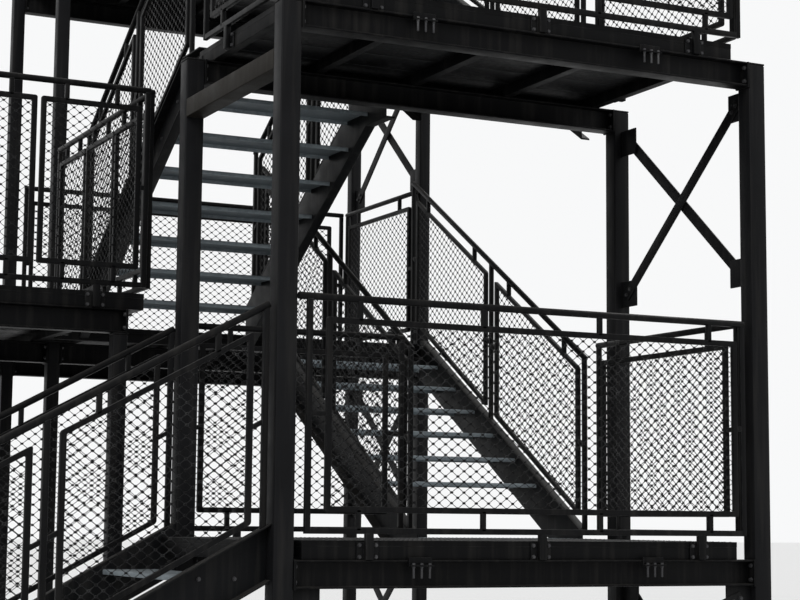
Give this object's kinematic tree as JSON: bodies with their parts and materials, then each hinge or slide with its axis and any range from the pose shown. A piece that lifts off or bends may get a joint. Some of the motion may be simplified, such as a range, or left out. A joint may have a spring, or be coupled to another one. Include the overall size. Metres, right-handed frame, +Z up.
{
  "type": "equipment access platform",
  "caption": "Steel access tower of stair flights, guarded decks and a side walkway, on square columns with bolted feet, crossed flat bracing and mesh guards.",
  "frame": {"origin": "centre of the front left column's foot, on the floor", "axes": "+X to the right along the front, +Y to the rear, +Z up"},
  "size_m": [5.9356, 5.2, 6.6897],
  "materials": {
    "column_paint": "satin grey paint",
    "plate_paint": "satin grey paint",
    "beam_paint": "satin grey paint",
    "tie_paint": "satin warm grey paint",
    "frame_paint": "satin grey paint",
    "deck_steel": "dull zinc",
    "stringer_paint": "satin grey paint",
    "tread_steel": "dull zinc",
    "guard_steel": "satin grey paint",
    "brace_steel": "satin grey paint"
  },
  "bodies": {
    "root": {"front_columns": "column_paint", "middle_columns": "column_paint", "landing_columns": "column_paint", "rear_columns": "column_paint", "walkway_columns": "column_paint", "base_plates": "plate_paint", "cap_plates": "plate_paint", "brace_gussets": "plate_paint", "lower_beams": "beam_paint", "upper_beams": "beam_paint", "half_landing_beams": "beam_paint", "top_landing_beams": "beam_paint", "walkway_beams": "beam_paint", "left_tie_beam": "tie_paint", "lower_deck_frame": "frame_paint", "upper_deck_frame": "frame_paint", "half_landing_frame": "frame_paint", "top_landing_frame": "frame_paint", "walkway_frame": "frame_paint", "lower_deck_plate": "deck_steel", "upper_deck_plate": "deck_steel", "half_landing_plate": "deck_steel", "top_landing_plate": "deck_steel", "walkway_plate": "deck_steel", "entry_flight_stringers": "stringer_paint", "lower_flight_stringers": "stringer_paint", "middle_flight_stringers": "stringer_paint", "upper_flight_stringers": "stringer_paint", "entry_flight_treads": "tread_steel", "lower_flight_treads": "tread_steel", "middle_flight_treads": "tread_steel", "upper_flight_treads": "tread_steel", "lower_front_guard": "guard_steel", "lower_right_guard": "guard_steel", "lower_rear_guard": "guard_steel", "upper_front_guard": "guard_steel", "upper_right_guard": "guard_steel", "upper_left_guard": "guard_steel", "half_landing_right_guard": "guard_steel", "half_landing_rear_guard": "guard_steel", "top_landing_front_guard": "guard_steel", "top_landing_right_guard": "guard_steel", "top_landing_rear_guard": "guard_steel", "top_landing_left_guard": "guard_steel", "walkway_front_guard": "guard_steel", "walkway_right_guard": "guard_steel", "walkway_rear_guard": "guard_steel", "walkway_left_guard": "guard_steel", "entry_flight_guards": "guard_steel", "lower_flight_guards": "guard_steel", "middle_flight_guards": "guard_steel", "upper_flight_guards": "guard_steel", "front_brace": "brace_steel", "side_braces": "brace_steel", "rear_bay_braces": "brace_steel"}
  },
  "joints": []
}
